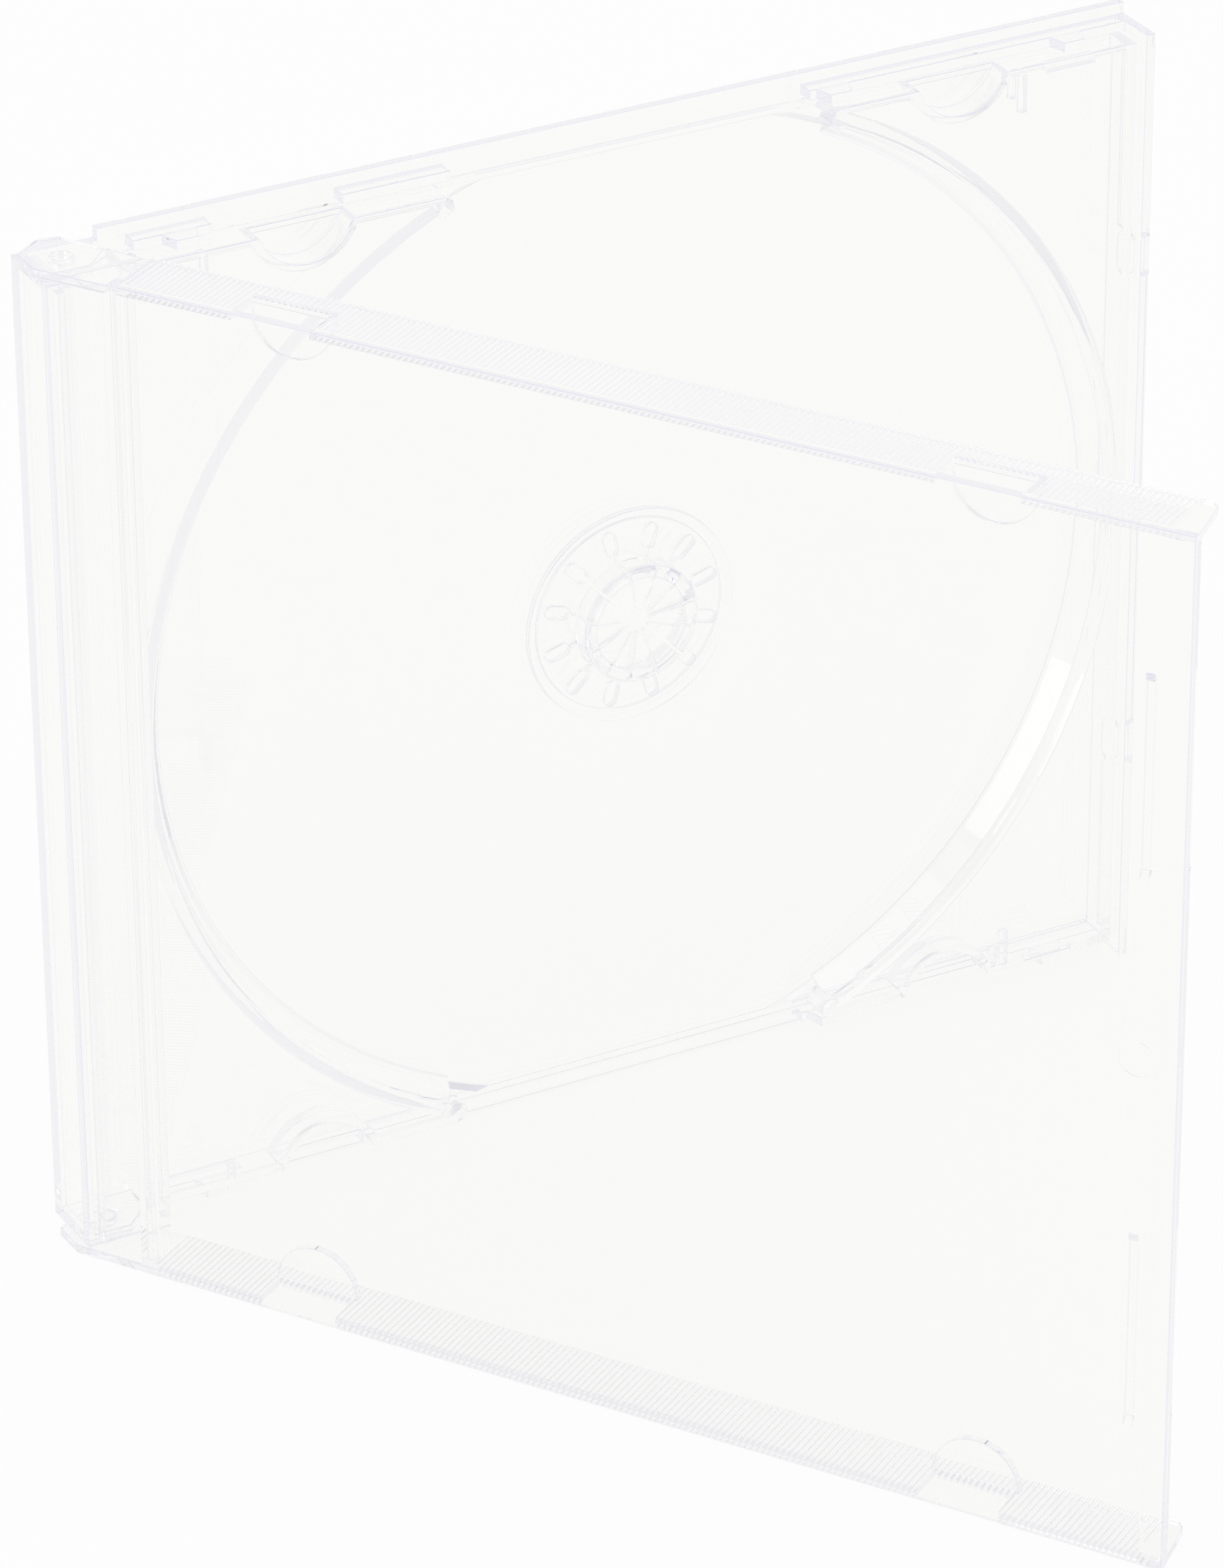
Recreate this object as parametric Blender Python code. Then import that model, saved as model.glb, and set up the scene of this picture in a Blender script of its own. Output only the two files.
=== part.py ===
"""Clear plastic case for one compact disc, standing on edge and part open.

The origin is on the hinge axis, in the plane that the case stands on.
+Z runs up the hinge. The back cover lies along +X, with its inside facing -Y.
The lid is modelled shut, over the back cover, and its empty on the hinge turns it open.
Depths are along Y and are counted from the hinge axis, which lies at mid thickness.
"""
import math

import bmesh
import bpy
from mathutils import Matrix, Vector

for old in list(bpy.data.objects):
    bpy.data.objects.remove(old, do_unlink=True)

mm = 0.001

# Overall sizes, shut
case_length = 142.0 * mm
case_height = 125.0 * mm
case_thickness = 10.0 * mm
lid_opening = math.radians(57.0)

# Walls and clearances
panel_wall = 1.2 * mm
side_wall = 1.1 * mm
tray_wall = 0.9 * mm
seat_gap = 0.3 * mm
running_gap = 0.4 * mm
weld = 0.4 * mm

# Hinge
axis_from_spine = 4.2 * mm
pin_radius = 1.2 * mm
pin_length = 1.6 * mm
pin_clearance = 0.25 * mm
arm_chamfer_length = 3.8 * mm
arm_chamfer_depth = 2.3 * mm
arm_heel = 1.6 * mm

# Front lid
lid_panel_start = 8.4 * mm
edge_rib_width = 1.2 * mm
edge_rib_height = 1.6 * mm
wall_tip_setback = 0.9 * mm
first_tab = 29.0 * mm
last_tab_from_edge = 24.8 * mm
tab_radius = 5.3 * mm
tab_thickness = 1.0 * mm
window_length = 9.8 * mm
booklet_room = 4.15 * mm
stop_rib_from_edge = 4.8 * mm
stop_rib_width = 1.1 * mm
stop_rib_height = 1.0 * mm
stop_rib_length = 22.0 * mm
stop_rib_spacing = 67.0 * mm
stop_rib_ramp = 1.1 * mm
edge_band_width = 2.5 * mm
edge_band_height = 0.35 * mm
edge_band_slope = 0.5 * mm
edge_step_width = 6.2 * mm
edge_step_height = 0.12 * mm
gate_mark_radius = 2.1 * mm
gate_mark_depth = 0.12 * mm
gate_mark_from_edge = 5.0 * mm
groove_pitch = 0.75 * mm
groove_depth = 0.25 * mm
groove_land = 0.12 * mm
groove_first = 9.5 * mm
groove_end_margin = 3.0 * mm
groove_plain_band = 1.3 * mm

# Back cover
flange_start = 6.0 * mm
spine_rise = 8.2 * mm
low_rib_wall = 1.2 * mm
low_rib_height = 2.1 * mm
low_rib_stretches = ((9.4 * mm, 19.0 * mm), (35.0 * mm, 48.5 * mm))
last_rib_from_edge = 43.3 * mm
lug_length = 8.4 * mm
lug_shoulder = 3.4 * mm
recess_from_end = 4.0 * mm
recess_length = 23.0 * mm
recess_width = 2.8 * mm
recess_depth = 0.4 * mm
snap_hole_radius = 1.3 * mm
snap_hole_length = 5.6 * mm
snap_hole_from_end = 27.4 * mm
first_catch = 15.0 * mm
catches_from_edge = (40.3 * mm, 9.3 * mm)
catch_length = 4.2 * mm
catch_top_length = 2.8 * mm
catch_rise = 2.2 * mm

# Disc tray
disc_centre_x = 71.4 * mm
floor_thickness = 1.0 * mm
deck_thickness = 1.0 * mm
well_depth = 3.9 * mm
well_floor_radius = 60.7 * mm
well_side_run = 2.9 * mm
well_lip_radius = 0.9 * mm
pocket_margin = 0.8 * mm
deck_nose_radius = 1.3 * mm
deck_slot_x = 16.4 * mm
deck_slots_from_edge = (18.3 * mm, 16.8 * mm, 10.5 * mm)
deck_slot_sizes = (  # width, distance from the tray's edge, length
    (0.7 * mm, 0.6 * mm, 2.2 * mm),
    (0.7 * mm, 0.9 * mm, 2.6 * mm),
    (1.0 * mm, 0.9 * mm, 4.6 * mm),
    (6.5 * mm, 0.55 * mm, 0.6 * mm),
)
strip_end = 7.0 * mm
strip_thickness = 0.9 * mm
strip_leg = 1.0 * mm
paper_room = 0.5 * mm

# Hub that grips the disc
seat_ring_radius = 13.5 * mm
seat_ring_height = 0.6 * mm
crown_radius = 7.4 * mm
crown_bulge = 0.15 * mm
crown_height = 2.9 * mm
crown_shell = 0.9 * mm
finger_count = 12
finger_slot = 0.36 * mm
root_slot = 1.5 * mm
root_slot_end = 11.6 * mm
root_slot_start = 8.4 * mm
hub_eye_radius = 1.5 * mm
root_land = 0.6 * mm
crown_waist = 0.35
crown_belly = 0.6
crown_dish = 0.55
crown_edge_drop = 0.3 * mm
crown_edge_run = 0.7 * mm
crown_dish_drop = 0.35 * mm
crown_eye_drop = 1.0 * mm
crown_inside_run = 0.6 * mm
crown_inside_drop = 0.4 * mm

# Steps in the round parts
tab_steps = 16
lip_steps = 5
round_steps = 24
opening_steps = 48
well_steps = 96

# Worked out from the sizes above
outer = case_thickness / 2
inner = outer - panel_wall
opening_edge = case_length - axis_from_spine
tab_centres = tuple(  # each in line with the flat between two grooves
    groove_first + round((place - groove_first) / groove_pitch) * groove_pitch
    for place in (first_tab, opening_edge - last_tab_from_edge)
)
last_rib = (opening_edge - last_rib_from_edge, opening_edge - panel_wall + weld)
catch_places = (first_catch,) + tuple(opening_edge - distance for distance in catches_from_edge)
deck_slot_places = (deck_slot_x,) + tuple(opening_edge - distance for distance in deck_slots_from_edge)
wall_reach = inner - seat_gap
side_inset = side_wall + seat_gap
rib_inner = side_inset + low_rib_wall
tray_low = rib_inner + seat_gap
tray_high = case_height - tray_low
mid_height = case_height / 2
tab_depth = booklet_room - inner
skirt_foot = inner - seat_gap
floor_under = inner - paper_room
floor_top = floor_under - floor_thickness
deck_top = floor_top - well_depth
deck_under = deck_top + deck_thickness
spine_top = outer - spine_rise
strip_top = spine_top - seat_gap - strip_thickness
tray_right = opening_edge - panel_wall - seat_gap
tray_centre = (disc_centre_x, mid_height)
well_rim_radius = well_floor_radius + well_side_run


def clear_material(name, colour, roughness):
    """Clear moulded polystyrene."""
    material = bpy.data.materials.new(name)
    material.use_nodes = True
    shader = material.node_tree.nodes["Principled BSDF"]
    shader.inputs["Base Color"].default_value = (*colour, 1.0)
    shader.inputs["Roughness"].default_value = roughness
    shader.inputs["Metallic"].default_value = 0.0
    shader.inputs["IOR"].default_value = 1.59
    shader.inputs["Transmission Weight"].default_value = 1.0
    return material


def mesh_object(name, bm):
    """A new object from a bmesh, with its faces pointing out."""
    bmesh.ops.recalc_face_normals(bm, faces=bm.faces)
    mesh = bpy.data.meshes.new(name)
    bm.to_mesh(mesh)
    bm.free()
    made = bpy.data.objects.new(name, mesh)
    bpy.context.scene.collection.objects.link(made)
    return made


def prism(name, outline, axis, low, high):
    """A flat outline pushed from low to high along one axis.

    The outline's two numbers are the other two axes, in X, Y, Z order."""
    place = {
        "X": lambda a, b, c: (c, a, b),
        "Y": lambda a, b, c: (a, c, b),
        "Z": lambda a, b, c: (a, b, c),
    }[axis]
    bm = bmesh.new()
    ring = [bm.verts.new(place(a, b, low)) for a, b in outline]
    face = bm.faces.new(ring)
    pushed = bmesh.ops.extrude_face_region(bm, geom=[face])
    moved = [item for item in pushed["geom"] if isinstance(item, bmesh.types.BMVert)]
    shift = place(0, 0, high - low)
    bmesh.ops.translate(bm, verts=moved, vec=shift)
    return mesh_object(name, bm)


def block(name, x, y, z):
    """A plain block between pairs of limits."""
    outline = [(x[0], y[0]), (x[1], y[0]), (x[1], y[1]), (x[0], y[1])]
    return prism(name, outline, "Z", z[0], z[1])


def turned(name, profile, centre, segments):
    """A closed profile of (radius, depth) points turned about an axis along Y.

    It starts half a step round, so that no edge lies along a slot or an outline's axis."""
    bm = bmesh.new()
    turn = Matrix.Rotation(math.pi / segments, 3, "Y")
    ring = [bm.verts.new(turn @ Vector((radius, depth, 0))) for radius, depth in profile]
    edges = [bm.edges.new((ring[i], ring[(i + 1) % len(ring)])) for i in range(len(ring))]
    bmesh.ops.spin(bm, geom=ring + edges, cent=(0, 0, 0), axis=(0, 1, 0),
                   angle=2 * math.pi, steps=segments, use_merge=True)
    bmesh.ops.remove_doubles(bm, verts=bm.verts, dist=0.001 * mm)
    bmesh.ops.dissolve_degenerate(bm, edges=bm.edges, dist=0.001 * mm)
    bmesh.ops.translate(bm, verts=bm.verts, vec=(centre[0], 0, centre[1]))
    return mesh_object(name, bm)


def arc(centre, radius, start, end, steps):
    """Points of an arc, with its angles in degrees."""
    points = []
    for i in range(steps + 1):
        angle = math.radians(start + (end - start) * i / steps)
        points.append((centre[0] + radius * math.cos(angle), centre[1] + radius * math.sin(angle)))
    return points


def circle(centre, radius, steps):
    """Points of a whole circle."""
    return arc(centre, radius, 0, 360, steps)[:-1]


def combine(body, other, operation):
    """Joins or cuts body with other, which is used up."""
    modifier = body.modifiers.new(operation, "BOOLEAN")
    modifier.operation = operation
    modifier.solver = "EXACT"
    modifier.object = other
    graph = bpy.context.evaluated_depsgraph_get()
    result = bpy.data.meshes.new_from_object(body.evaluated_get(graph))
    body.modifiers.clear()
    body.data = result
    bpy.data.objects.remove(other, do_unlink=True)


def join(body, other):
    combine(body, other, "UNION")


def cut(body, other):
    combine(body, other, "DIFFERENCE")


def both_ends(low, high):
    """The same stretch of height at the bottom and, mirrored, at the top."""
    return ((low, high), (case_height - high, case_height - low))


def finish(body, material):
    """Merges doubled points and gives the piece its material and shading."""
    bm = bmesh.new()
    bm.from_mesh(body.data)
    bmesh.ops.remove_doubles(bm, verts=bm.verts, dist=0.0005 * mm)
    bmesh.ops.triangulate(bm, faces=bm.faces)
    bm.to_mesh(body.data)
    bm.free()
    body.data.materials.clear()
    body.data.materials.append(material)
    body.data.shade_smooth()
    body.data.set_sharp_from_angle(angle=math.radians(30))


def lid_outline():
    """The lid seen along the hinge, shut: a long wall with cut corners at its hinge end."""
    heel = -axis_from_spine
    return [
        (heel, -outer + arm_chamfer_depth),
        (heel + arm_chamfer_length, -outer),
        (opening_edge, -outer),
        (opening_edge, -inner),
        (opening_edge - wall_tip_setback, wall_reach - wall_tip_setback),
        (opening_edge - 2 * wall_tip_setback, wall_reach),
        (heel + arm_heel, wall_reach),
        (heel, wall_reach - arm_heel),
    ]


def lid_hollow():
    """What is cut from between the lid's two ribbed walls, leaving the panel and its edge rib."""
    far = case_length
    rib_end = lid_panel_start + edge_rib_width
    return [
        (-far, -far),
        (lid_panel_start, -far),
        (lid_panel_start, -inner + edge_rib_height),
        (rib_end, -inner + edge_rib_height),
        (rib_end, -inner),
        (far, -inner),
        (far, far),
        (-far, far),
    ]


def groove_comb():
    """The row of V grooves across a wall's outer face, as (x, z) with the face at z = 0.

    The flat left between two grooves is groove_land wide."""
    last = opening_edge - groove_end_margin
    count = int((last - groove_first) / groove_pitch)
    half = (groove_pitch - groove_land) / 2
    rise = groove_depth * groove_land / (2 * half)
    points = []
    for i in range(count):
        start = groove_first + i * groove_pitch
        points.append((start, rise))
        points.append((start + groove_pitch / 2, -groove_depth))
    points.append((groove_first + count * groove_pitch, rise))
    above = groove_depth + side_wall
    return points + [(points[-1][0], above), (groove_first, above)]


def edge_band():
    """The thicker edge of the panel at the opening side, seen along the hinge."""
    top = -inner + edge_band_height
    step_start = opening_edge - edge_step_width
    band_start = opening_edge - edge_band_width
    return [
        (step_start, -inner - weld),
        (opening_edge, -inner - weld),
        (opening_edge, top),
        (band_start, top),
        (band_start - edge_band_slope, -inner + edge_step_height),
        (step_start, -inner + edge_step_height),
    ]


def stop_rib():
    """A stop rib seen from the opening side, as (y, z) about its middle, with a ramp at each end."""
    half = stop_rib_length / 2
    top = -inner + stop_rib_height
    return [
        (-inner - weld, -half - stop_rib_ramp),
        (-inner - weld, half + stop_rib_ramp),
        (-inner + edge_step_height, half + stop_rib_ramp),
        (top, half),
        (top, -half),
        (-inner + edge_step_height, -half - stop_rib_ramp),
    ]


def make_lid(material):
    lid = prism("front_lid", lid_outline(), "Z", 0, case_height)
    cut(lid, prism("hollow", lid_hollow(), "Z", side_wall, case_height - side_wall))
    join(lid, prism("edge_band", edge_band(), "Z", side_wall - weld, case_height - side_wall + weld))
    for centre in tab_centres:
        reach = (centre - window_length / 2, centre + window_length / 2)
        for end in both_ends(-side_wall, side_wall):
            cut(lid, block("window", reach, (-inner, tab_depth), end))
        tab = arc((centre, side_wall), tab_radius, 0, 180, tab_steps)
        tab = [(centre + tab_radius, side_wall - weld)] + tab + [(centre - tab_radius, side_wall - weld)]
        join(lid, prism("tab", tab, "Y", tab_depth, tab_depth + tab_thickness))
        tab = [(x, case_height - z) for x, z in reversed(tab)]
        join(lid, prism("tab", tab, "Y", tab_depth, tab_depth + tab_thickness))
    stop_x = opening_edge - stop_rib_from_edge
    for side in (-1, 1):
        middle = mid_height + side * stop_rib_spacing / 2
        rib = [(y, middle + z) for y, z in stop_rib()]
        join(lid, prism("stop", rib, "X", stop_x - stop_rib_width / 2, stop_x + stop_rib_width / 2))
    mark = circle((opening_edge - gate_mark_from_edge, mid_height), gate_mark_radius, round_steps)
    cut(lid, prism("gate_mark", mark, "Y", -inner - gate_mark_depth, 0))
    plain_end = -outer + groove_plain_band
    comb = groove_comb()
    cut(lid, prism("grooves", [(x, case_height + z) for x, z in comb], "Y", plain_end, case_thickness))
    cut(lid, prism("grooves", [(x, -z) for x, z in reversed(comb)], "Y", plain_end, case_thickness))
    pin = circle((0, 0), pin_radius, round_steps)
    for low, high in both_ends(side_wall - weld, side_wall + pin_length):
        join(lid, prism("pin", pin, "Z", low, high))
    finish(lid, material)
    return lid


def back_outline():
    """The back cover seen along the hinge: spine wall, plate and opening wall."""
    spine = -axis_from_spine + running_gap
    return [
        (spine, spine_top),
        (spine + panel_wall, spine_top),
        (spine + panel_wall, inner),
        (opening_edge - panel_wall, inner),
        (opening_edge - panel_wall, spine_top),
        (opening_edge, spine_top),
        (opening_edge, outer),
        (spine, outer),
    ]


def end_relief():
    """What is cut from each end of the back cover so that the lid's walls fit outside it."""
    far = case_length
    return [
        (-far, -far),
        (far + far, -far),
        (far + far, inner),
        (flange_start, inner),
        (flange_start, far),
        (-far, far),
    ]


def lug_outline():
    """A hinge lug: an end wall of the spine with a sloped shoulder."""
    start = -axis_from_spine + running_gap + panel_wall - weld
    end = start + lug_length
    return [
        (start, spine_top),
        (end - lug_shoulder, spine_top),
        (end, spine_top + lug_shoulder),
        (end, inner + weld),
        (start, inner + weld),
    ]


def catch_outline(centre):
    """A tooth on a low rib that holds the tray's edge, with sloped ends."""
    rib_top = inner - low_rib_height
    return [
        (centre - catch_length / 2, rib_top + weld),
        (centre + catch_length / 2, rib_top + weld),
        (centre + catch_length / 2, rib_top),
        (centre + catch_top_length / 2, rib_top - catch_rise),
        (centre - catch_top_length / 2, rib_top - catch_rise),
        (centre - catch_length / 2, rib_top),
    ]


def make_back(material):
    back = prism("back_cover", back_outline(), "Z", 0, case_height)
    for low, high in both_ends(-side_inset, side_inset):
        cut(back, prism("relief", end_relief(), "Z", low, high))
    for stretch in low_rib_stretches + (last_rib,):
        for span in both_ends(side_inset, rib_inner):
            join(back, block("rib", stretch, (inner - low_rib_height, inner + weld), span))
    for centre in catch_places:
        for span in both_ends(side_inset, rib_inner):
            join(back, prism("catch", catch_outline(centre), "Z", *span))
    hole = circle((0, 0), pin_radius + pin_clearance, round_steps)
    for low, high in both_ends(side_inset, rib_inner):
        join(back, prism("lug", lug_outline(), "Z", low, high))
        cut(back, prism("hole", hole, "Z", low - weld, high + weld))
    wall_face = opening_edge - panel_wall
    middle = (spine_top + inner) / 2
    for span in both_ends(recess_from_end, recess_from_end + recess_length):
        depths = (middle - recess_width / 2, middle + recess_width / 2)
        cut(back, block("recess", (0, wall_face + recess_depth), depths, span))
    for low, high in both_ends(snap_hole_from_end, snap_hole_from_end + snap_hole_length):
        radius = snap_hole_radius
        slot = arc((middle, high - radius), radius, 0, 180, round_steps // 2)
        slot += arc((middle, low + radius), radius, 180, 360, round_steps // 2)
        cut(back, prism("snap_hole", slot, "X", 0, case_length))
    finish(back, material)
    return back


def well_profile(grow):
    """The well's sloped side with its rounded lip, as (radius, depth) from the floor up."""
    lip = (well_rim_radius + grow, deck_top + well_lip_radius)
    side = [(well_floor_radius + grow, floor_top)]
    for radius, depth in arc(lip, well_lip_radius, 150, 270, lip_steps):
        side.append((radius, depth))
    return side


def pocket_places():
    """The centres of the four pockets for the lid's tabs."""
    return [(x, z) for x in tab_centres for z in (side_wall, case_height - side_wall)]


def nose_centres(z):
    """Where the deck ends in a round nose against the well, left and right, for a nose at height z."""
    reach = math.sqrt(well_rim_radius ** 2 - (z - mid_height) ** 2)
    return (disc_centre_x - reach, z), (disc_centre_x + reach, z)


def straight_cut(left, right, side):
    """What is cut from the deck between two noses, where the well runs out through the tray's edge."""
    radius = deck_nose_radius
    far = left[1] + side * case_height
    ring = arc(left, radius, side * 90, -side * 90, round_steps // 2) + [tray_centre]
    ring += arc(right, radius, -side * 90, -side * 270, round_steps // 2)
    return ring + [(right[0], far), (left[0], far)]


def cut_well(tray):
    """The round well, open at the top and bottom edges, with the deck's noses left standing."""
    profile = well_profile(0)
    profile = [(0, floor_top)] + profile + [(profile[-1][0], -case_thickness), (0, -case_thickness)]
    well = turned("well", profile, tray_centre, well_steps)
    gaps = []
    runs_out = well_rim_radius > tray_high - mid_height
    for side, edge in ((-1, tray_low), (1, tray_high)) if runs_out else ():
        left, right = nose_centres(edge - side * deck_nose_radius)
        for place in (left, right):
            post = circle(place, deck_nose_radius, round_steps)
            cut(well, prism("nose", post, "Y", -2 * case_thickness, case_thickness))
        gaps.append(straight_cut(left, right, side))
    cut(tray, well)
    for gap in gaps:
        cut(tray, prism("gap", gap, "Y", -case_thickness, floor_top))


def tray_outline():
    """The tray seen along the hinge: the spine strip with its two legs, and the body that the well is cut from."""
    spine_face = -axis_from_spine + running_gap
    strip_under = strip_top + strip_thickness
    outer_leg = spine_face + panel_wall + seat_gap
    return [
        (spine_face, strip_top),
        (strip_end, strip_top),
        (strip_end, deck_top),
        (tray_right, deck_top),
        (tray_right, skirt_foot),
        (strip_end - strip_leg, skirt_foot),
        (strip_end - strip_leg, strip_under),
        (outer_leg + tray_wall, strip_under),
        (outer_leg + tray_wall, skirt_foot),
        (outer_leg, skirt_foot),
        (outer_leg, strip_under),
        (spine_face, strip_under),
    ]


def make_tray(material):
    under = case_thickness
    far = case_length
    strip_inset = side_inset + seat_gap / 2
    tray = prism("disc_tray", tray_outline(), "Z", strip_inset, case_height - strip_inset)
    for span in both_ends(-far, tray_low):
        cut(tray, block("trim", (-far, 2 * far), (strip_top + strip_thickness, far), span))
    hollow = block("hollow", (strip_end, tray_right - tray_wall), (deck_under, under),
                   (tray_low + tray_wall, tray_high - tray_wall))
    rim = well_rim_radius + tray_wall
    keep_well = [(0, floor_under), (0, -under), (rim, -under), (rim, deck_under)]
    keep_well += [(well_floor_radius + tray_wall, floor_under)]
    cut(hollow, turned("keep", keep_well, tray_centre, well_steps))
    pocket_floor = tab_depth + tab_thickness + seat_gap
    pocket_radius = tab_radius + pocket_margin
    for place in pocket_places():
        body = circle(place, pocket_radius + tray_wall, round_steps)
        cut(hollow, prism("keep", body, "Y", -under, pocket_floor + tray_wall))
    cut(tray, hollow)
    cut_well(tray)
    for place in pocket_places():
        cut(tray, prism("pocket", circle(place, pocket_radius, round_steps), "Y", -under, pocket_floor))
    for middle, (width, start, length) in zip(deck_slot_places, deck_slot_sizes):
        for span in both_ends(tray_low + start, tray_low + start + length):
            reach = (middle - width / 2, middle + width / 2)
            cut(tray, block("deck_slot", reach, (deck_top - weld, deck_under + weld), span))
    add_hub(tray)
    finish(tray, material)
    return tray


def hub_profile():
    """Seat ring and crown as one shell, as (radius, depth), from the ring's foot inwards."""
    ring_top = floor_top - seat_ring_height
    crown_top = ring_top - crown_height
    thick = crown_shell
    dish = (crown_radius * crown_dish, crown_top + crown_dish_drop)
    eye = (hub_eye_radius, crown_top + crown_eye_drop)
    land_start = root_slot_end + root_land
    return [
        (seat_ring_radius, floor_top + weld),
        (seat_ring_radius, ring_top),
        (land_start, ring_top),
        (crown_radius, ring_top),
        (crown_radius, ring_top - crown_height * crown_waist),
        (crown_radius + crown_bulge, ring_top - crown_height * crown_belly),
        (crown_radius, crown_top + crown_edge_drop),
        (crown_radius - crown_edge_run, crown_top),
        dish,
        eye,
        (eye[0], eye[1] + thick),
        (dish[0], dish[1] + thick),
        (crown_radius - thick - crown_inside_run, crown_top + thick),
        (crown_radius - thick, crown_top + thick + crown_inside_drop),
        (crown_radius - thick, ring_top + thick),
        (land_start, ring_top + thick),
        (land_start, floor_top + weld),
    ]


def slot_outline():
    """One radial slot: fine through the crown, wide and round at the finger's root."""
    fine = finger_slot / 2
    wide = root_slot / 2
    start = hub_eye_radius - weld
    outline = [(start, -fine), (root_slot_start, -fine), (root_slot_start + wide, -wide)]
    outline += arc((root_slot_end - wide, 0), wide, -90, 90, round_steps // 4)
    return outline + [(root_slot_start + wide, wide), (root_slot_start, fine), (start, fine)]


def add_hub(tray):
    """The seat ring and slotted crown, over a hole in the tray's floor."""
    opening = circle(tray_centre, root_slot_end + root_land + weld, opening_steps)
    cut(tray, prism("hub_opening", opening, "Y", deck_top, case_thickness))
    hub = turned("hub", hub_profile(), tray_centre, opening_steps)
    for i in range(finger_count):
        turn = Matrix.Rotation(math.radians(360 * (i + 0.5) / finger_count), 2)
        ring = [turn @ Vector(point) + Vector(tray_centre) for point in slot_outline()]
        cut(hub, prism("slot", ring, "Y", -case_thickness, case_thickness))
    join(tray, hub)


lid_plastic = clear_material("lid_clear", (0.93, 0.94, 0.95), 0.05)
back_plastic = clear_material("back_clear", (0.93, 0.94, 0.95), 0.05)
tray_plastic = clear_material("tray_clear", (0.94, 0.95, 0.94), 0.08)

hinge = bpy.data.objects.new("lid_hinge_axis", None)
bpy.context.scene.collection.objects.link(hinge)
lid = make_lid(lid_plastic)
lid.parent = hinge
hinge.rotation_euler = (0, 0, -lid_opening)
make_back(back_plastic)
make_tray(tray_plastic)
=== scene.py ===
import math

import bmesh
import bpy
from mathutils import Matrix, Vector


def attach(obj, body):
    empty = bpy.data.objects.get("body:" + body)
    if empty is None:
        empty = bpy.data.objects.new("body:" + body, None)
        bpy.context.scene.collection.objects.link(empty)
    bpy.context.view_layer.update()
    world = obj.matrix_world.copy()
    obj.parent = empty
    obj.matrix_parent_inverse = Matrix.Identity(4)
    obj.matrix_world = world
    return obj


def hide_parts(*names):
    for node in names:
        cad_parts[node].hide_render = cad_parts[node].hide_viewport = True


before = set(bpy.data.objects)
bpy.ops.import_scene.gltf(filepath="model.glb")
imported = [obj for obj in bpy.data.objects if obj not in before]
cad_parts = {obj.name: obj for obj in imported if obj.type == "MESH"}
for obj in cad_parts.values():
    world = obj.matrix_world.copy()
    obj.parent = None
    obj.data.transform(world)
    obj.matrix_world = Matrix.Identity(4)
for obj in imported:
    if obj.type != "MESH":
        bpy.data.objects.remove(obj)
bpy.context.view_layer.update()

mm = 0.001

viewSettings = {
    "azimuth": -28.152,      # degrees, 0 looks along +Y
    "elevation": 28.400,
    "roll": -0.374,
    "distance": 0.90734,
    "target": (0.06739, 0.0, 0.04177),
    "focal": 10776.2,        # in pixels of the photograph
    "imageHeight": 2184,
    "sensor": 36.0,
    "clip": (0.05, 20),
}


def addCamera(s):
    az, el, roll = (math.radians(s[k]) for k in ("azimuth", "elevation", "roll"))
    back = Vector((math.sin(az) * math.cos(el), -math.cos(az) * math.cos(el), math.sin(el)))
    level = (-back).cross(Vector((0, 0, 1))).normalized()
    upright = level.cross(-back)
    right = level * math.cos(roll) + upright * math.sin(roll)
    up = upright * math.cos(roll) - level * math.sin(roll)
    turn = Matrix((right, up, back)).transposed()
    data = bpy.data.cameras.new("camera")
    data.sensor_width = s["sensor"]
    data.lens = s["focal"] * s["sensor"] / s["imageHeight"]
    data.clip_start, data.clip_end = s["clip"]
    camera = bpy.data.objects.new("camera", data)
    camera.matrix_world = Matrix.Translation(Vector(s["target"]) + back * s["distance"]) @ turn.to_4x4()
    bpy.context.scene.collection.objects.link(camera)
    bpy.context.scene.camera = camera
    return back


toCamera = addCamera(viewSettings)
print("camera ready")

studioSettings = {
    "white": 0.99,
    "roomLight": 0.75,
    "ceiling": (0.62, 0.60, 0.71),
    "bandTop": 0.45,         # where the white band at the horizon begins to turn into ceiling
    "bandEnd": 0.85,
    "dark": (0.34, 0.34, 0.39),      # the unlit room behind the camera
    "darkFrom": 0.88,
    "darkTo": 0.96,
    "floorTone": 0.92,
    "floorShare": 0.94,      # how much of the floor's own glow the camera sees
    "floorGlow": 1.02,
    "floorSize": 3.0,
    "floorDrop": 0.1 * mm,
    "lamps": {               # size, power, place, aim
        "softTop": ((1.2, 1.2), 2.5, (-0.3, -0.5, 1.3), (0.07, 0, 0.05)),
        "softSide": ((0.30, 0.75), 0.9, (-1.05, -0.42, 0.45), (0.12, 0, 0.03)),
    },
}


def addNode(tree, kind, **inputs):
    node = tree.nodes.new(kind)
    for key, value in inputs.items():
        node.inputs[key.replace("_", " ")].default_value = value
    return node


# a value or another node's output for an input
def feed(tree, socket, value):
    if hasattr(value, "links"):
        tree.links.new(value, socket)
    else:
        socket.default_value = value


def mathNode(tree, operation, *values):
    node = tree.nodes.new("ShaderNodeMath")
    node.operation = operation
    for socket, value in zip(node.inputs, values):
        feed(tree, socket, value)
    return node.outputs[0]


def mixColour(tree, factor, one, other):
    node = tree.nodes.new("ShaderNodeMix")
    node.data_type = "RGBA"
    for key, value in (("Factor", factor), ("A", one), ("B", other)):
        feed(tree, node.inputs[key], (*value, 1) if isinstance(value, tuple) else value)
    return node.outputs["Result"]


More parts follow.
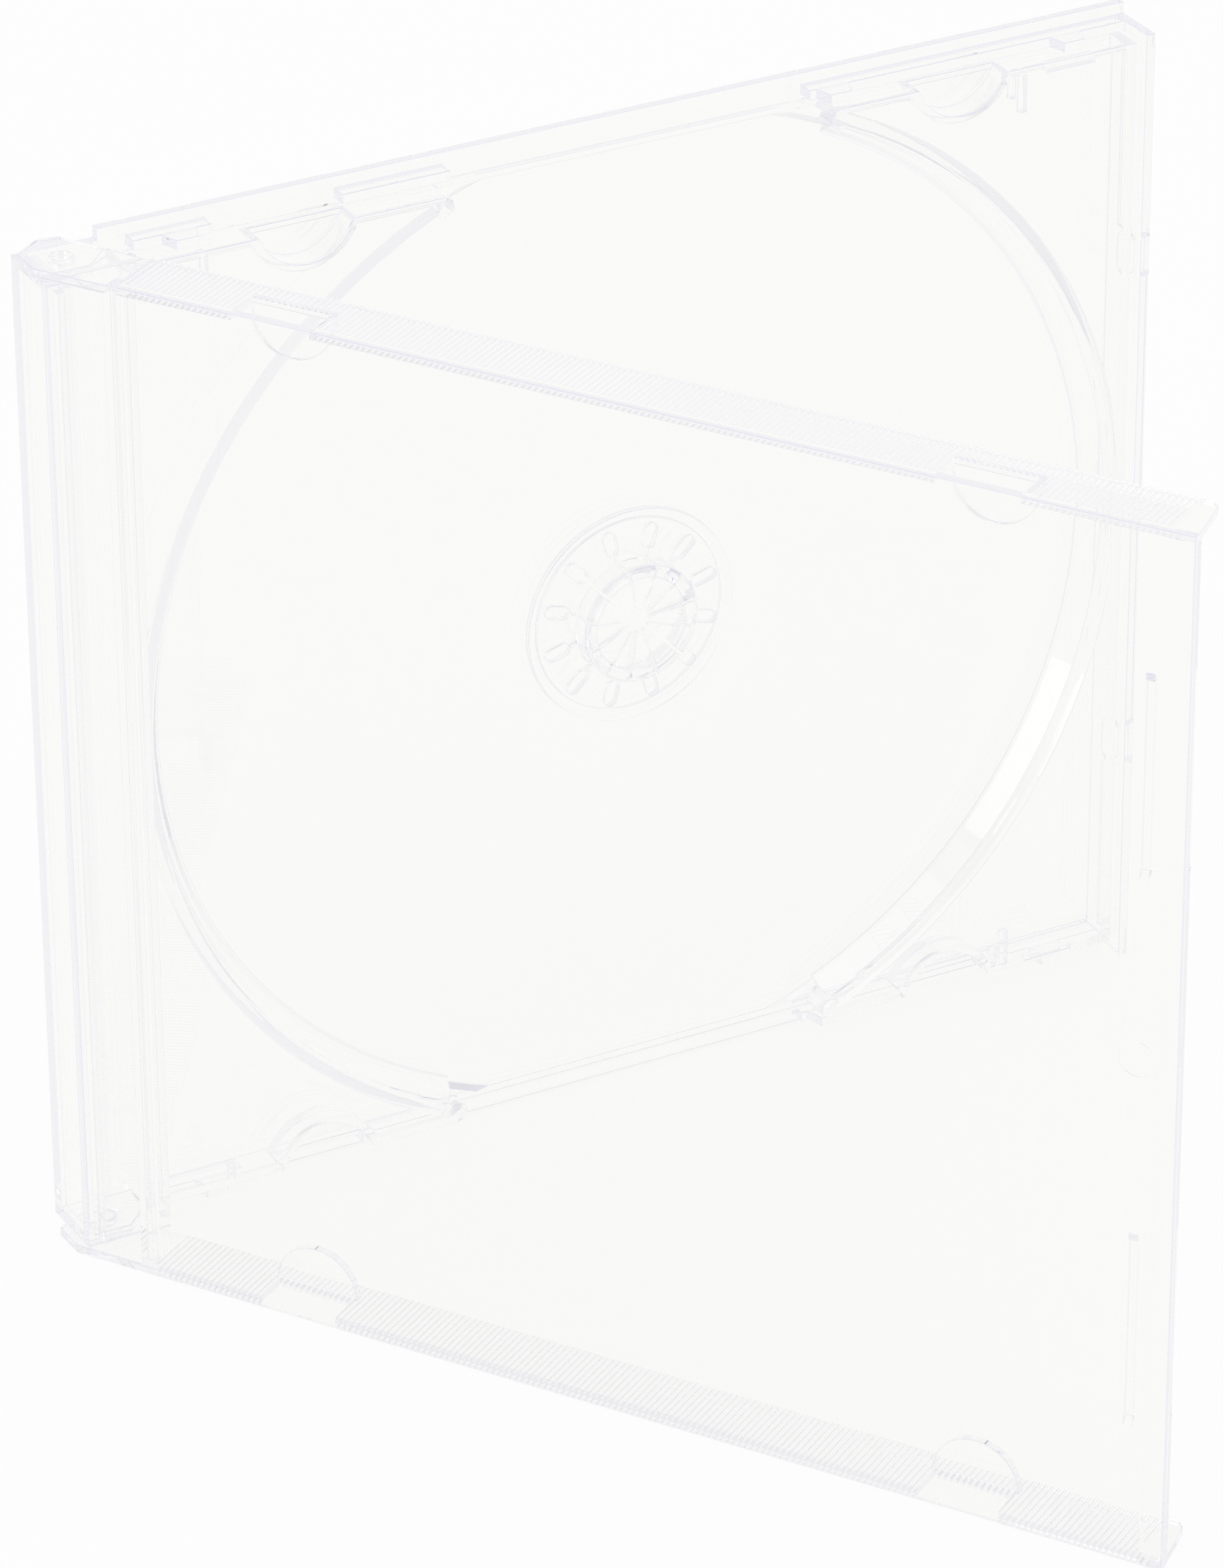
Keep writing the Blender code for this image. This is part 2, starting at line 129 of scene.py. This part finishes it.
def mixShader(tree, factor, one, other):
    node = tree.nodes.new("ShaderNodeMixShader")
    for socket, source in zip(node.inputs, (factor, one, other)):
        tree.links.new(source, socket)
    return node.outputs[0]


# from 0 to 1 between two levels, with soft ends
def softStep(tree, value, start, end):
    node = addNode(tree, "ShaderNodeMapRange", From_Min=start, From_Max=end)
    node.interpolation_type = "SMOOTHSTEP"
    tree.links.new(value, node.inputs["Value"])
    return node.outputs["Result"]


# 1 for rays that the camera sees straight, in a reflection or through the plastic
def seenRays(tree):
    path = tree.nodes.new("ShaderNodeLightPath").outputs
    shown = mathNode(tree, "MAXIMUM", path["Is Camera Ray"], path["Is Glossy Ray"])
    return mathNode(tree, "MAXIMUM", shown, path["Is Transmission Ray"])


def makeWorld(s):
    world = bpy.data.worlds.new("studio")
    world.use_nodes = True
    tree = world.node_tree
    tree.nodes.clear()
    link = tree.links.new
    white = (s["white"],) * 3
    facing = tree.nodes.new("ShaderNodeTexCoord").outputs["Generated"]
    split = tree.nodes.new("ShaderNodeSeparateXYZ")
    link(facing, split.inputs[0])
    high = softStep(tree, split.outputs["Z"], s["bandTop"], s["bandEnd"])
    tone = mixColour(tree, high, white, s["ceiling"])
    behind = tree.nodes.new("ShaderNodeVectorMath")
    behind.operation = "DOT_PRODUCT"
    behind.inputs[1].default_value = toCamera
    link(facing, behind.inputs[0])
    hidden = softStep(tree, behind.outputs["Value"], s["darkFrom"], s["darkTo"])
    shade = mixColour(tree, hidden, tone, s["dark"])
    path = tree.nodes.new("ShaderNodeLightPath").outputs
    shown = tree.nodes.new("ShaderNodeBackground")
    link(mixColour(tree, path["Is Camera Ray"], shade, white), shown.inputs["Color"])
    room = addNode(tree, "ShaderNodeBackground", Strength=s["roomLight"])
    out = tree.nodes.new("ShaderNodeOutputWorld")
    link(mixShader(tree, seenRays(tree), room.outputs[0], shown.outputs[0]), out.inputs["Surface"])
    bpy.context.scene.world = world


def makeFloor(s):
    mat = bpy.data.materials.new("paleFloor")
    mat.use_nodes = True
    tree = mat.node_tree
    tree.nodes.clear()
    plain = addNode(tree, "ShaderNodeBsdfDiffuse", Color=(s["floorTone"],) * 3 + (1,))
    glow = addNode(tree, "ShaderNodeEmission", Color=(s["white"],) * 3 + (1,), Strength=s["floorGlow"])
    share = mathNode(tree, "MULTIPLY", seenRays(tree), s["floorShare"])
    out = tree.nodes.new("ShaderNodeOutputMaterial")
    tree.links.new(mixShader(tree, share, plain.outputs[0], glow.outputs[0]), out.inputs["Surface"])
    half = s["floorSize"] / 2
    bm = bmesh.new()
    for x, y in ((-half, -half), (half, -half), (half, half), (-half, half)):
        bm.verts.new((x, y, -s["floorDrop"]))
    bm.faces.new(bm.verts)
    mesh = bpy.data.meshes.new("floor")
    bm.to_mesh(mesh)
    bm.free()
    mesh.materials.append(mat)
    floor = bpy.data.objects.new("floor", mesh)
    bpy.context.scene.collection.objects.link(floor)


def addLamp(name, sizes, power, place, aim):
    data = bpy.data.lights.new(name, "AREA")
    data.shape = "RECTANGLE"
    data.size, data.size_y = sizes
    data.energy = power
    lamp = bpy.data.objects.new(name, data)
    lamp.location = place
    lamp.rotation_euler = (Vector(aim) - Vector(place)).to_track_quat("-Z", "Y").to_euler()
    lamp.visible_camera = False
    bpy.context.scene.collection.objects.link(lamp)


makeWorld(studioSettings)
makeFloor(studioSettings)
for lampName, lampValues in studioSettings["lamps"].items():
    addLamp(lampName, *lampValues)
bpy.context.scene.view_settings.view_transform = "Standard"
print("studio ready")


plasticSettings = {
    "ior": 1.59,
    "roughness": 0.0,
    "lastBounce": 10,
    # painted light: the colour the plastic glows in past the last bounce
    "paintedLateGlow": (0.945, 0.94, 0.97),
    "edge": (0.86, 0.85, 0.92),          # painted shade: a darker lavender tone on rounded edges and groove sides, in place of the shade that refraction gives them
    "depthDensity": 11.0,
    "flowScale": 55.0,       # faint streaks where the melt flowed
    "flowDetail": 2.0,
    "flowStretch": (0.35, 1.0, 1.0),
    "tint": (0.941, 0.954, 0.910),
    "streak": (0.936, 0.949, 0.905),
    "lidDepth": (0.80, 0.76, 0.88),
    "backDepth": (0.80, 0.76, 0.88),
    "trayDepth": (0.80, 0.78, 0.84),
}


def clearPlastic(name, depth, s):
    mat = bpy.data.materials.new(name)
    mat.use_nodes = True
    tree = mat.node_tree
    link = tree.links.new
    shader = tree.nodes["Principled BSDF"].inputs
    shader["Roughness"].default_value = s["roughness"]
    shader["IOR"].default_value = s["ior"]
    shader["Transmission Weight"].default_value = 1.0
    # flow streaks: a slow noise that is stretched along the case
    place = tree.nodes.new("ShaderNodeTexCoord")
    stretch = addNode(tree, "ShaderNodeMapping", Scale=s["flowStretch"])
    flow = addNode(tree, "ShaderNodeTexNoise", Scale=s["flowScale"], Detail=s["flowDetail"])
    link(place.outputs["Object"], stretch.inputs["Vector"])
    link(stretch.outputs["Vector"], flow.inputs["Vector"])
    tint = mixColour(tree, flow.outputs[0], s["tint"], s["streak"])
    # the tint counts once, where the camera's ray enters
    path = tree.nodes.new("ShaderNodeLightPath").outputs
    once = mixColour(tree, path["Is Camera Ray"], (1, 1, 1), tint)
    # painted shade: faces marked as rounded take the darker edge tone instead of the tint, and groove sides
    # take part of it
    paintedEdgeShadeMask = tree.nodes.new("ShaderNodeAttribute")
    paintedEdgeShadeMask.attribute_name = "rounded"
    link(mixColour(tree, paintedEdgeShadeMask.outputs["Fac"], once, s["edge"]), shader["Base Color"])
    # painted light: where a ray runs past the last bounce the plastic glows pale lavender instead of going
    # black, in place of the light that more bounces would bring out
    late = mathNode(tree, "GREATER_THAN", path["Ray Depth"], s["lastBounce"] + 0.5)
    link(late, shader["Emission Strength"])
    shader["Emission Color"].default_value = (*s["paintedLateGlow"], 1)
    loss = addNode(tree, "ShaderNodeVolumeAbsorption", Color=(*depth, 1), Density=s["depthDensity"])
    link(loss.outputs[0], tree.nodes["Material Output"].inputs["Volume"])
    return mat


cycles = bpy.context.scene.cycles
cycles.max_bounces = cycles.transmission_bounces = cycles.glossy_bounces = plasticSettings["lastBounce"]
lidPlastic = clearPlastic("lidPlastic", plasticSettings["lidDepth"], plasticSettings)
backPlastic = clearPlastic("backPlastic", plasticSettings["backDepth"], plasticSettings)
trayPlastic = clearPlastic("trayPlastic", plasticSettings["trayDepth"], plasticSettings)
print("plastics ready")


def placeMesh(name, mesh):
    made = bpy.data.objects.new(name, mesh)
    bpy.context.scene.collection.objects.link(made)
    return made


# the mesh that an object's modifiers make, with the object dropped
def takeMesh(source):
    graph = bpy.context.evaluated_depsgraph_get()
    mesh = bpy.data.meshes.new_from_object(source.evaluated_get(graph))
    source.modifiers.clear()
    bpy.data.objects.remove(source, do_unlink=True)
    return mesh


def combine(name, base, other, operation):
    body = placeMesh(name, base)
    tool = placeMesh(name + "Tool", other)
    step = body.modifiers.new(operation.lower(), "BOOLEAN")
    step.operation = operation
    step.solver = "EXACT"
    step.object = tool
    mesh = takeMesh(body)
    bpy.data.objects.remove(tool, do_unlink=True)
    return mesh


# puts the points that are next to a level exactly on it
def levelled(mesh, levels, reach=0.01 * mm):
    for v in mesh.vertices:
        for level in levels:
            if abs(v.co.y - level) < reach:
                v.co.y = level
    return mesh


edgeSettings = {
    "weld": 0.02 * mm,
    "flat": math.radians(0.5),
    "sharp": math.radians(25),       # edges flatter than this get no round
    "smooth": math.radians(20),
    "steep": math.radians(50),       # faces steeper than this to a corner's own leave its normal alone
    "alongside": 0.85,               # the cosine past which a neighbour runs on along an edge
    "rounds": ((0.10 * mm, 0.35 * mm), (0.06 * mm, 0.20 * mm)),      # radius, and the room it needs
    "segments": 2,
    # the share of the rounded mark, and so of the painted edge shade, that groove sides get
    "ribShare": 0.3,
    "upright": 0.95,                 # faces that look up or down more than this are no groove's side
}


# a mesh with its loose triangles merged into whole faces
def merged(mesh, s):
    bm = bmesh.new()
    bm.from_mesh(mesh)
    bmesh.ops.remove_doubles(bm, verts=bm.verts, dist=s["weld"])
    bmesh.ops.dissolve_limit(bm, angle_limit=s["flat"], verts=bm.verts, edges=bm.edges)
    return bm


def nodeMesh(node, s):
    bm = merged(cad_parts[node].data, s)
    mesh = bpy.data.meshes.new(node)
    bm.to_mesh(mesh)
    bm.free()
    return mesh


# how far an edge may be rounded before it meets a corner of the faces beside it
def roomAt(edge, s):
    length = edge.calc_length()
    room = length * 2
    for loop in edge.link_loops:
        for beside in (loop.link_loop_prev.edge, loop.link_loop_next.edge):
            shared = next(v for v in edge.verts if v in beside.verts)
            out = (edge.other_vert(shared).co - shared.co).normalized()
            turn = out.dot((beside.other_vert(shared).co - shared.co).normalized())
            if turn > s["alongside"] and beside.calc_length() > length:
                return 0
            if abs(turn) < s["alongside"]:
                room = min(room, beside.calc_length())
    return room


# the edges to round, sorted by the largest radius that they have room for
def roundedEdges(bm, s, plain):
    classes = [[] for _ in s["rounds"]]
    for edge in bm.edges:
        if len(edge.link_faces) != 2 or edge.calc_face_angle(0) < s["sharp"]:
            continue
        if plain and plain((edge.verts[0].co + edge.verts[1].co) / 2):
            continue
        room = roomAt(edge, s)
        for chosen, (radius, needed) in zip(classes, s["rounds"]):
            if room >= needed:
                chosen.append(edge)
                break
    return classes


# corner normals: flat faces stay straight, rounds blend between them, and edges without a round stay sharp
def settledNormals(bm, mark, s):
    normals = {}
    soft, reach = math.cos(s["smooth"]), math.cos(s["steep"])
    for vert in bm.verts:
        group = {face: face for face in vert.link_faces}

        def root(face):
            while group[face] is not face:
                face = group[face]
            return face

        for edge in vert.link_edges:
            if len(edge.link_faces) == 2:
                one, two = edge.link_faces
                if one[mark] or two[mark] or edge.calc_face_angle(0) < s["smooth"]:
                    group[root(one)] = root(two)
        for loop in vert.link_loops:
            own = loop.face.normal
            limit = reach if loop.face[mark] else soft
            near = [face for face in vert.link_faces if root(face) is root(loop.face)]
            flat = [face for face in near if not face[mark] and face.normal.dot(own) > limit]
            total = Vector()
            for face in flat or [face for face in near if face.normal.dot(own) > reach]:
                total += face.normal * (face.calc_area() / mm ** 2) ** 2
            normals[loop] = total.normalized() if total.length > 1e-12 else own.copy()
    return [normals[loop] for face in bm.faces for loop in face.loops]


def moulding(name, mesh, mat, body, node, s, plain=None):
    bm = merged(mesh, s)
    # the rounded mark steers the corner normals and also carries the painted edge shade into the plastic
    mark = bm.faces.layers.float.new("rounded")
    classes = roundedEdges(bm, s, plain)
    for chosen, (radius, needed) in zip(classes, s["rounds"]):
        made = bmesh.ops.bevel(
            bm, geom=[edge for edge in chosen if edge.is_valid], offset=radius, offset_type="OFFSET",
            segments=s["segments"], profile=0.5, affect="EDGES", clamp_overlap=False)
        for face in made["faces"]:
            face[mark] = 1
    bm.normal_update()
    if plain:
        for face in bm.faces:
            if abs(face.normal.z) < s["upright"] and plain(face.calc_center_median(), ribs=True):
                face[mark] = s["ribShare"]
    normals = settledNormals(bm, mark, s)
    done = bpy.data.meshes.new(name)
    bm.to_mesh(done)
    bm.free()
    done.shade_smooth()
    done.normals_split_custom_set(normals)
    piece = placeMesh(name, done)
    done.materials.clear()
    done.materials.append(mat)
    for face in done.polygons:
        face.material_index = 0
    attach(piece, body)
    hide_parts(node)
    print(name, "has", len(done.polygons), "faces")
    return piece


lidSettings = {
    "shut": Matrix.Rotation(math.radians(57), 3, "Z"),       # turns the open lid back to where it is shut
    "grooves": (9.4 * mm, 135.0 * mm),
    "grooveEnd": -3.78 * mm,
    "height": 125.0 * mm,
    "shallow": 0.3 * mm,
    "step": (131.0 * mm, 137.5 * mm),
    "stepTop": -3.6 * mm,
    "panelFace": -3.8 * mm,
}


# tells the fine grooves, and with them the shallow step, whose edges stay sharp
def lidPlain(point, ribs=False, s=lidSettings):
    at = s["shut"] @ point
    low, high = s["grooves"]
    between = s["shallow"] < at.z < s["height"] - s["shallow"]
    inGrooves = low < at.x < high and at.y > s["grooveEnd"] and not between
    first, last = s["step"]
    onStep = first < at.x < last and s["panelFace"] - s["shallow"] < at.y < s["stepTop"]
    return inGrooves or (onStep and not ribs)


lidMesh = nodeMesh("front_lid", edgeSettings)
moulding("lidMoulding", lidMesh, lidPlastic, "lid", "front_lid", edgeSettings, lidPlain)
print("lid ready")
backMesh = nodeMesh("back_cover", edgeSettings)
moulding("backMoulding", backMesh, backPlastic, "back", "back_cover", edgeSettings)
print("back ready")

hubSettings = {
    "centre": (71.4 * mm, 0.0, 62.5 * mm),
    "steps": 144,
    "eye": 1.5 * mm,
    "crown": 7.4 * mm,
    "landStart": 12.2 * mm,
    "ring": 13.5 * mm,
    "opening": 14.2 * mm,    # the part of the CAD hub that this one stands for
    "flange": 14.6 * mm,
    "floorTop": 2.3 * mm,    # depths along Y, as in the CAD
    "floorUnder": 3.3 * mm,
    "ringTop": 1.7 * mm,
    "crownTop": -1.2 * mm,
    "shell": 0.9 * mm,
    "root": 0.25 * mm,       # the round between the ring and the crown's wall
    "rootMid": 0.07 * mm,
    "bulge": 0.15 * mm,
    "wall": ((0, 0.35), (0.6, 0.45), (1, 0.6), (0.7, 0.75)),         # share of the bulge, share of the rise
    "lip": ((0, 0.3 * mm), (0.3 * mm, 0.08 * mm), (0.7 * mm, 0)),    # inwards, down
    "dish": ((0.72, 0.15 * mm), (0.55, 0.35 * mm), (0.38, 0.65 * mm)),       # share of the crown, down
    "eyeDrop": 1.0 * mm,
    "innerLip": (0.6 * mm, 0.4 * mm),
    "fingers": 12,
    "fineSlot": 0.36 * mm,
    "rootSlot": 1.5 * mm,
    "rootStart": 8.4 * mm,
    "rootEnd": 11.6 * mm,
    "endSteps": 24,
}


# the hub's section as (radius, depth), from the flange inwards over the top and back under it
def hubSection(s):
    crown, top, ringTop, shell = s["crown"], s["crownTop"], s["ringTop"], s["shell"]
    eyeTop = top + s["eyeDrop"]
    inner = crown - shell
    inwards, down = s["innerLip"]
    section = [(s["flange"], s["floorTop"]), (s["ring"], s["floorTop"]), (s["ring"], ringTop)]
    section += [(s["landStart"], ringTop), (crown + s["root"], ringTop)]
    section += [(crown + s["rootMid"], ringTop - s["rootMid"]), (crown, ringTop - s["root"])]
    section += [(crown + out * s["bulge"], ringTop - share * (ringTop - top)) for out, share in s["wall"]]
    section += [(crown - run, top + drop) for run, drop in s["lip"]]
    section += [(crown * share, top + drop) for share, drop in s["dish"]]
    section += [(s["eye"], eyeTop), (s["eye"], eyeTop + shell)]
    share, drop = s["dish"][1]
    section += [(crown * share, top + drop + shell), (inner - inwards, top + shell)]
    section += [(inner, top + shell + down), (inner, ringTop + shell), (s["landStart"], ringTop + shell)]
    section += [(s["landStart"], s["floorUnder"]), (s["flange"], s["floorUnder"])]
    return section


def newTree(name, inputs):
    tree = bpy.data.node_groups.new(name, "GeometryNodeTree")
    tree.interface.new_socket("Geometry", in_out="INPUT", socket_type="NodeSocketGeometry")
    for label, kind in inputs:
        tree.interface.new_socket(label, in_out="INPUT", socket_type=kind)
    tree.interface.new_socket("Geometry", in_out="OUTPUT", socket_type="NodeSocketGeometry")
    return tree


def setInputs(step, tree, values):
    for item in tree.interface.items_tree:
        if item.in_out == "INPUT" and item.name in values:
            step[item.identifier] = values[item.name]


# turns a section about Z and cuts even radial slots, fine at first, wide and round-ended at the root
def hubTree():
    counts = ("Points", "Steps", "Fingers", "End Steps")
    sizes = ("Fine Slot", "Root Slot", "Root Start", "Root End", "Eye", "Tall")
    inputs = [(label, "NodeSocketInt") for label in counts] + [(label, "NodeSocketFloat") for label in sizes]
    tree = newTree("turnedHub", inputs + [("Material", "NodeSocketMaterial")])
    link = tree.links.new
    new = tree.nodes.new
    given = new("NodeGroupInput").outputs
    index = new("GeometryNodeInputIndex").outputs[0]

    def op(operation, *values):
        return mathNode(tree, operation, *values)

    # a grid whose rows are wrapped round the axis and whose columns follow the section
    rows = op("ADD", given["Steps"], 1)
    grid = new("GeometryNodeMeshGrid")
    link(op("ADD", given["Points"], 1), grid.inputs["Vertices X"])
    link(rows, grid.inputs["Vertices Y"])
    column = op("FLOOR", op("DIVIDE", op("ADD", index, 0.5), rows))
    row = op("SUBTRACT", index, op("MULTIPLY", column, rows))
    point = new("GeometryNodeSampleIndex")
    point.data_type = "FLOAT_VECTOR"
    link(given["Geometry"], point.inputs["Geometry"])
    link(new("GeometryNodeInputPosition").outputs[0], point.inputs["Value"])
    link(op("MODULO", column, given["Points"]), point.inputs["Index"])
    around = new("ShaderNodeVectorRotate")
    around.rotation_type = "Z_AXIS"
    link(point.outputs["Value"], around.inputs["Vector"])
    turn = op("MULTIPLY", op("ADD", row, 0.5), 2 * math.pi)
    link(op("DIVIDE", turn, given["Steps"]), around.inputs["Angle"])
    wrap = new("GeometryNodeSetPosition")
    link(grid.outputs["Mesh"], wrap.inputs["Geometry"])
    link(around.outputs[0], wrap.inputs["Position"])
    closed = new("GeometryNodeMergeByDistance")
    closed.inputs["Distance"].default_value = 0.001 * mm
    link(wrap.outputs[0], closed.inputs["Geometry"])

    # one slot along X, from overlapping cutters
    def placed(geometry, x):
        move = new("GeometryNodeTransform")
        where = new("ShaderNodeCombineXYZ")
        link(x, where.inputs["X"])
        link(geometry, move.inputs["Geometry"])
        link(where.outputs[0], move.inputs["Translation"])
        return move.outputs[0]

    def bar(start, end, width):
        cube = new("GeometryNodeMeshCube")
        size = new("ShaderNodeCombineXYZ")
        link(op("SUBTRACT", end, start), size.inputs["X"])
        link(width, size.inputs["Y"])
        link(given["Tall"], size.inputs["Z"])
        link(size.outputs[0], cube.inputs["Size"])
        return placed(cube.outputs["Mesh"], op("DIVIDE", op("ADD", start, end), 2))

    def roundEnd(x):
        post = new("GeometryNodeMeshCylinder")
        link(given["End Steps"], post.inputs["Vertices"])
        link(half, post.inputs["Radius"])
        link(given["Tall"], post.inputs["Depth"])
        return placed(post.outputs["Mesh"], x)

    half = op("DIVIDE", given["Root Slot"], 2)
    first = op("ADD", given["Root Start"], half)
    last = op("SUBTRACT", given["Root End"], half)
    inside = op("SUBTRACT", given["Eye"], given["Fine Slot"])
    slot = new("GeometryNodeJoinGeometry")
    bars = [bar(inside, first, given["Fine Slot"]), bar(first, last, given["Root Slot"])]
    for cutter in bars + [roundEnd(first), roundEnd(last)]:
        link(cutter, slot.inputs[0])

    # the slot once between each two fingers
    spots = new("GeometryNodeMeshLine")
    link(given["Fingers"], spots.inputs["Count"])
    spots.inputs["Offset"].default_value = (0, 0, 0)
    share = op("DIVIDE", op("ADD", index, 0.5), given["Fingers"])
    facing = new("ShaderNodeCombineXYZ")
    link(op("MULTIPLY", share, 2 * math.pi), facing.inputs["Z"])
    spread = new("GeometryNodeInstanceOnPoints")
    link(spots.outputs["Mesh"], spread.inputs["Points"])
    link(slot.outputs[0], spread.inputs["Instance"])
    link(facing.outputs[0], spread.inputs["Rotation"])
    real = new("GeometryNodeRealizeInstances")
    link(spread.outputs[0], real.inputs[0])
    cut = new("GeometryNodeMeshBoolean")
    cut.operation = "DIFFERENCE"
    cut.solver = "EXACT"
    cut.inputs["Self Intersection"].default_value = True
    link(closed.outputs[0], cut.inputs["Mesh 1"])
    link(real.outputs[0], cut.inputs["Mesh 2"])
    finished = new("GeometryNodeRealizeInstances")
    link(cut.outputs["Mesh"], finished.inputs[0])
    paint = new("GeometryNodeSetMaterial")
    link(finished.outputs[0], paint.inputs["Geometry"])
    link(given["Material"], paint.inputs["Material"])
    link(paint.outputs[0], new("NodeGroupOutput").inputs[0])
    return tree


def makeHub(s, mat):
    section = hubSection(s)
    mesh = bpy.data.meshes.new("hubSection")
    mesh.from_pydata([(radius, 0, -depth) for radius, depth in section], [], [])
    hub = placeMesh("hub", mesh)
    tree = hubTree()
    step = hub.modifiers.new("turnedHub", "NODES")
    step.node_group = tree
    setInputs(step, tree, {
        "Points": len(section), "Steps": s["steps"], "Fingers": s["fingers"], "End Steps": s["endSteps"],
        "Fine Slot": s["fineSlot"], "Root Slot": s["rootSlot"], "Root Start": s["rootStart"],
        "Root End": s["rootEnd"], "Eye": s["eye"], "Tall": 4 * s["ring"], "Material": mat,
    })
    made = takeMesh(hub)
    made.transform(Matrix.Translation(s["centre"]) @ Matrix.Rotation(math.pi / 2, 4, "X"))
    bm = bmesh.new()
    bm.from_mesh(made)
    bmesh.ops.recalc_face_normals(bm, faces=bm.faces)
    bm.to_mesh(made)
    bm.free()
    return made


# what is cut from the tray where the hub goes in
def plug(s):
    bm = bmesh.new()
    radius = s["opening"]
    bmesh.ops.create_cone(
        bm, cap_ends=True, segments=s["steps"], radius1=radius, radius2=radius, depth=2 * s["ring"])
    bmesh.ops.rotate(bm, verts=bm.verts, matrix=Matrix.Rotation(math.pi / 2, 3, "X"))
    bmesh.ops.translate(bm, verts=bm.verts, vec=s["centre"])
    mesh = bpy.data.meshes.new("hubPlug")
    bm.to_mesh(mesh)
    bm.free()
    return mesh


floorLevels = (hubSettings["floorTop"], hubSettings["floorUnder"])
tray = levelled(nodeMesh("disc_tray", edgeSettings), floorLevels)
tray = combine("trayOpened", tray, plug(hubSettings), "DIFFERENCE")
hub = levelled(makeHub(hubSettings, trayPlastic), floorLevels)
tray = combine("trayWhole", levelled(tray, floorLevels), hub, "UNION")
moulding("trayMoulding", tray, trayPlastic, "back", "disc_tray", edgeSettings)
print("tray ready")
